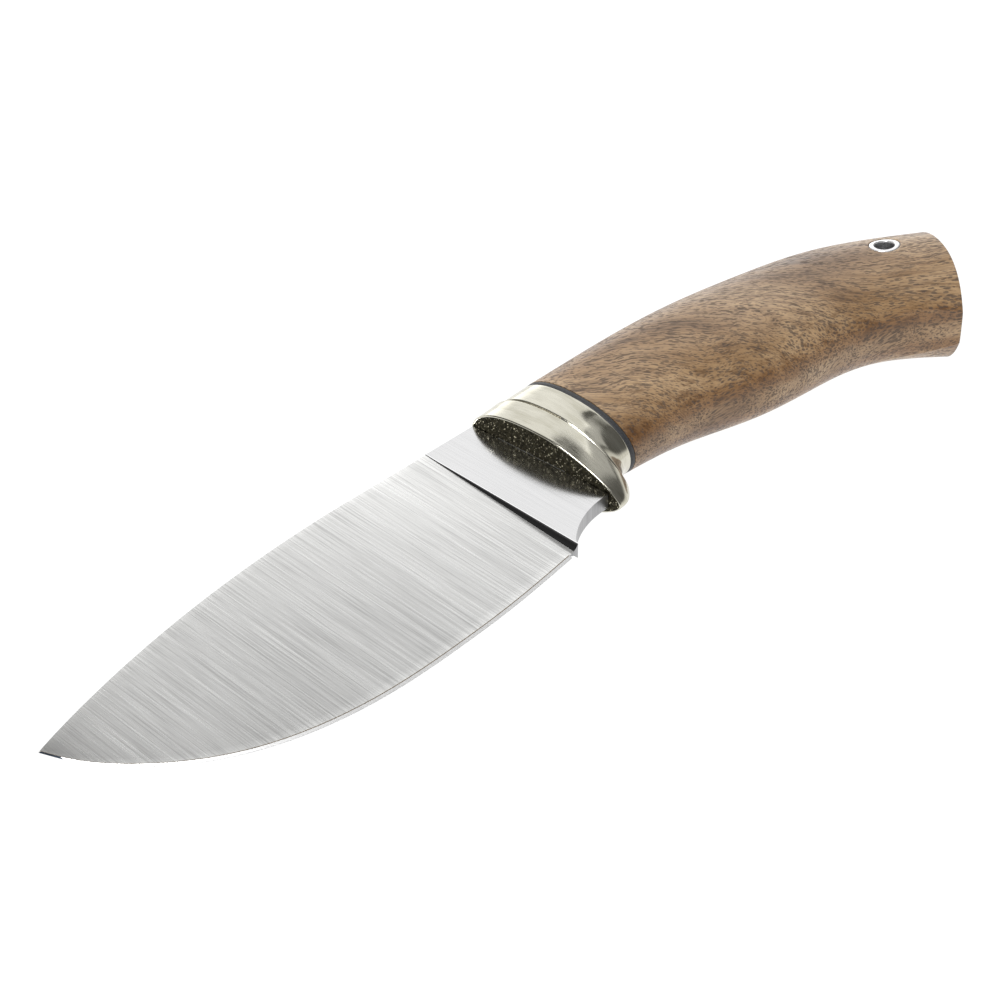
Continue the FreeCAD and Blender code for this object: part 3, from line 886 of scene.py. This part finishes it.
def build_handle(material):
    """The wood with its eased, domed butt and the tube's hole. Returns the wood's surface before the
    hole, to be asked for heights."""
    grid, dome, butt_middle, outward = handle_surface()
    columns = grid.shape[1]
    rings = [grid[0] + np.array([0.05, 0.0, 0.0]), *grid[1:]]
    rim = rings[-1]
    toward = butt_middle - rim
    toward /= np.linalg.norm(toward, axis=1)[:, None]
    rings[-1] = rim - outward * BUTT_EASE * 0.8
    rings.append(rim + toward * BUTT_EASE * 0.3 - outward * BUTT_EASE * 0.25)
    for inset in (0.03, 0.2, 0.45, 0.7, 0.9, 0.995):
        flat = rim + (butt_middle - rim) * inset
        away = flat - dome
        away /= np.linalg.norm(away, axis=1)[:, None]
        rings.append(dome + away * BUTT_RADIUS)
    verts = np.concatenate(rings)
    faces = loop_faces(len(rings), columns)
    faces.append(tuple(range(columns)))
    faces.append(tuple(range((len(rings) - 1) * columns, len(rings) * columns)))
    piece = make_object("handle_walnut", verts, faces, [material])
    tidy_mesh(piece, weld=0.0005, sharp=math.radians(38.0))
    solid = BVHTree.FromPolygons([v.co for v in piece.data.vertices],
                                 [p.vertices for p in piece.data.polygons])
    bore_hole(piece, TUBE_OUTER + GLUE_LINE)
    finish_piece(piece, "handle")
    return solid


def bore_hole(piece, radius):
    """Round hole through the handle on the tube's axis."""
    turn = np.linspace(0.0, 2.0 * math.pi, TUBE_SIDES, endpoint=False)
    x = TUBE_AXIS[0] + radius * np.cos(turn)
    y = TUBE_AXIS[1] + radius * np.sin(turn)
    rings = [np.stack([x, y, np.full(TUBE_SIDES, z)], axis=1) for z in (-DRILL_REACH, DRILL_REACH)]
    faces = loop_faces(2, TUBE_SIDES)
    faces += [tuple(reversed(range(TUBE_SIDES))), tuple(range(TUBE_SIDES, 2 * TUBE_SIDES))]
    drill = make_object("drill", np.concatenate(rings), faces, [])
    cut = piece.modifiers.new("bore", "BOOLEAN")
    cut.operation = "DIFFERENCE"
    cut.solver = "EXACT"
    cut.object = drill
    shown = piece.evaluated_get(bpy.context.evaluated_depsgraph_get())
    cleaned = bpy.data.meshes.new_from_object(shown)
    piece.modifiers.clear()
    piece.data = cleaned
    bpy.data.objects.remove(drill)


def surface_height(solid, x, y):
    """Height of the wood's left side over a plan point, in millimetres."""
    above = Vector((x, y, DRILL_REACH)) * MM
    return solid.ray_cast(above, Vector((0.0, 0.0, -1.0)))[0].z / MM


def tube_piece(name, solid, profile, material):
    """Ring mesh for a profile of (radius, offset from the wood's surface), closed from left to right."""
    angles = np.linspace(0.0, 2.0 * math.pi, TUBE_SIDES, endpoint=False)
    rings = []
    for radius, offset in profile:
        ring = []
        for angle in angles:
            x = TUBE_AXIS[0] + radius * math.cos(angle)
            y = TUBE_AXIS[1] + radius * math.sin(angle)
            ring.append((x, y, surface_height(solid, x, y) + offset))
        rings.append(np.array(ring))
    mirrored = [ring * (1.0, 1.0, -1.0) for ring in reversed(rings)]
    rings = rings + mirrored + rings[:1]
    return make_object(name, np.concatenate(rings), loop_faces(len(rings), TUBE_SIDES), [material])


def build_tube(solid, metal, glue):
    """The tube with its eased mouths, and the thin line of glue round it."""
    tube = tube_piece("lanyard_tube_ring", solid,
                      [(TUBE_INNER, -0.35), (TUBE_INNER + 0.03, -0.16), (TUBE_INNER + 0.14, -0.03),
                       (TUBE_INNER + 0.3, 0.0), (TUBE_OUTER - 0.2, 0.0), (TUBE_OUTER - 0.06, -0.03),
                       (TUBE_OUTER, -0.12)], metal)
    tidy_mesh(tube, sharp=math.radians(60.0))
    finish_piece(tube, "lanyard_tube")
    seam = tube_piece("lanyard_tube_glue_line", solid,
                      [(TUBE_OUTER - 0.02, -0.10), (TUBE_OUTER + 0.06, -0.05),
                       (TUBE_OUTER + GLUE_LINE, -0.10)], glue)
    tidy_mesh(seam)
    finish_piece(seam, None)


# ---------------------------------------------------------------- room

def build_camera():
    """Looks down and along the knife from the point's side, aimed at the ricasso."""
    target = Vector(CAMERA_TARGET) * MM
    ahead = Vector((math.sin(CAMERA_AZIMUTH) * math.cos(CAMERA_DROP),
                    math.cos(CAMERA_AZIMUTH) * math.cos(CAMERA_DROP), -math.sin(CAMERA_DROP)))
    data = bpy.data.cameras.new("camera")
    data.lens = CAMERA_LENS
    data.sensor_width = CAMERA_SENSOR
    data.clip_start = 0.01
    camera = bpy.data.objects.new("camera", data)
    camera.location = target - ahead * (CAMERA_DISTANCE * MM)
    camera.rotation_euler = ahead.to_track_quat("-Z", "Y").to_euler()
    bpy.context.scene.collection.objects.link(camera)
    bpy.context.scene.camera = camera


def soft_box(name, azimuth, elevation, distance, width, tall, radiance):
    """Rectangular light aimed at the bolster. Azimuth 0 stands in +Y and 90 in +X."""
    data = bpy.data.lights.new(name, "AREA")
    data.shape = "RECTANGLE"
    data.size = width
    data.size_y = tall
    data.energy = math.pi * width * tall * radiance
    lamp = bpy.data.objects.new(name, data)
    a, e = math.radians(azimuth), math.radians(elevation)
    lamp.location = (distance * math.sin(a) * math.cos(e), distance * math.cos(a) * math.cos(e),
                     distance * math.sin(e))
    lamp.rotation_euler = (-lamp.location).to_track_quat("-Z", "Y").to_euler()
    lamp.visible_camera = False
    bpy.context.scene.collection.objects.link(lamp)


def build_world():
    """Pale band round the horizon, like a paper sweep, under a dim ceiling."""
    world = bpy.data.worlds.new("studio")
    world.use_nodes = True
    tree = world.node_tree
    place = tree.nodes.new("ShaderNodeTexCoord")
    split = tree.nodes.new("ShaderNodeSeparateXYZ")
    fade = tree.nodes.new("ShaderNodeMapRange")
    fade.interpolation_type = "SMOOTHSTEP"
    for key, number in (("From Min", 0.16), ("From Max", 0.42), ("To Min", 0.95), ("To Max", 0.13)):
        fade.inputs[key].default_value = number
    tree.links.new(place.outputs["Generated"], split.inputs["Vector"])
    tree.links.new(split.outputs["Z"], fade.inputs["Value"])
    tree.links.new(fade.outputs["Result"], tree.nodes["Background"].inputs["Strength"])
    tree.nodes["Background"].inputs["Color"].default_value = (1.0, 0.99, 0.96, 1.0)
    bpy.context.scene.world = world


def build_room():
    """White floor at the lowest point of the CAD, the world and the four soft boxes."""
    n = Nodes("floor_white")
    n.finish((0.10, 0.10, 0.10, 1.0), 0.9, Emission_Color=(1.0, 1.0, 1.0, 1.0), Emission_Strength=1.0)
    low = cad_box[0][2]
    size = FLOOR_SIZE
    corners = [(-size, -size, low), (size, -size, low), (size, size, low), (-size, size, low)]
    mesh = bpy.data.meshes.new("floor")
    mesh.from_pydata(corners, [], [(0, 1, 2, 3)])
    mesh.materials.append(n.material)
    floor = bpy.data.objects.new("floor", mesh)
    bpy.context.scene.collection.objects.link(floor)
    build_world()
    for values in SOFT_BOXES:
        soft_box(*values)
    bpy.context.scene.view_settings.view_transform = "Standard"
    bpy.context.scene.view_settings.look = "None"


# ---------------------------------------------------------------- all together

def main():
    satin = steel("blade_satin", (0.78, 0.78, 0.77), 0.29, 0.25, 0.22, graded=True)
    flat = steel("ricasso_fine_brushed", (0.715, 0.715, 0.72), 0.17, 0.06, 0.12)
    # painted shade: the plunge cove's polished steel gets a near-black tint
    plunge = polished_steel("plunge_polished_painted_dark", (0.13, 0.13, 0.135), 0.16)
    # painted highlight: the honed bevel gets a near-white tint, brighter than the blade's steel
    bevel = polished_steel("edge_bevel_honed_painted_highlight", (0.98, 0.98, 0.98), 0.45)
    # painted shade: the spine, choil and heel walls are a darker copy of the blade's satin steel
    walls = steel("blade_walls_satin_painted_shade", (0.36, 0.36, 0.365), 0.34, 0.22, 0.3)
    dark_strip = plain_metal("edge_dark_strip_line", (0.24, 0.18, 0.11), 0.5)
    facet = polished_steel("tip_facet_dark", (0.06, 0.08, 0.11), 0.3)
    # painted highlight line along the end of the grind
    highlight_strip = polished_steel("grind_end_painted_highlight_line", (1.0, 1.0, 1.0), 0.08)
    tang = plain_metal("tang_mill_finish", (0.45, 0.45, 0.45), 0.45)
    build_blade([satin, flat, plunge, bevel, walls, tang, dark_strip, facet, highlight_strip])
    silver = nickel_silver()
    build_bolster([silver, darkened_groove()])
    build_stippled_face(stippled_face())
    build_spacer(spacer_fibre())
    solid = build_handle(walnut())
    glue = plain_dark("glue_line_dark", (0.05, 0.045, 0.04), 0.5)
    build_tube(solid, plain_metal("tube_bright", (0.86, 0.86, 0.87), 0.28), glue)
    # the adhesive keeps its CAD shape, hidden in the wood
    bedding = plain_dark("epoxy_amber", (0.30, 0.26, 0.18), 0.35)
    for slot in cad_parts["tang_epoxy"].material_slots:
        slot.material = bedding
    build_room()
    build_camera()


main()
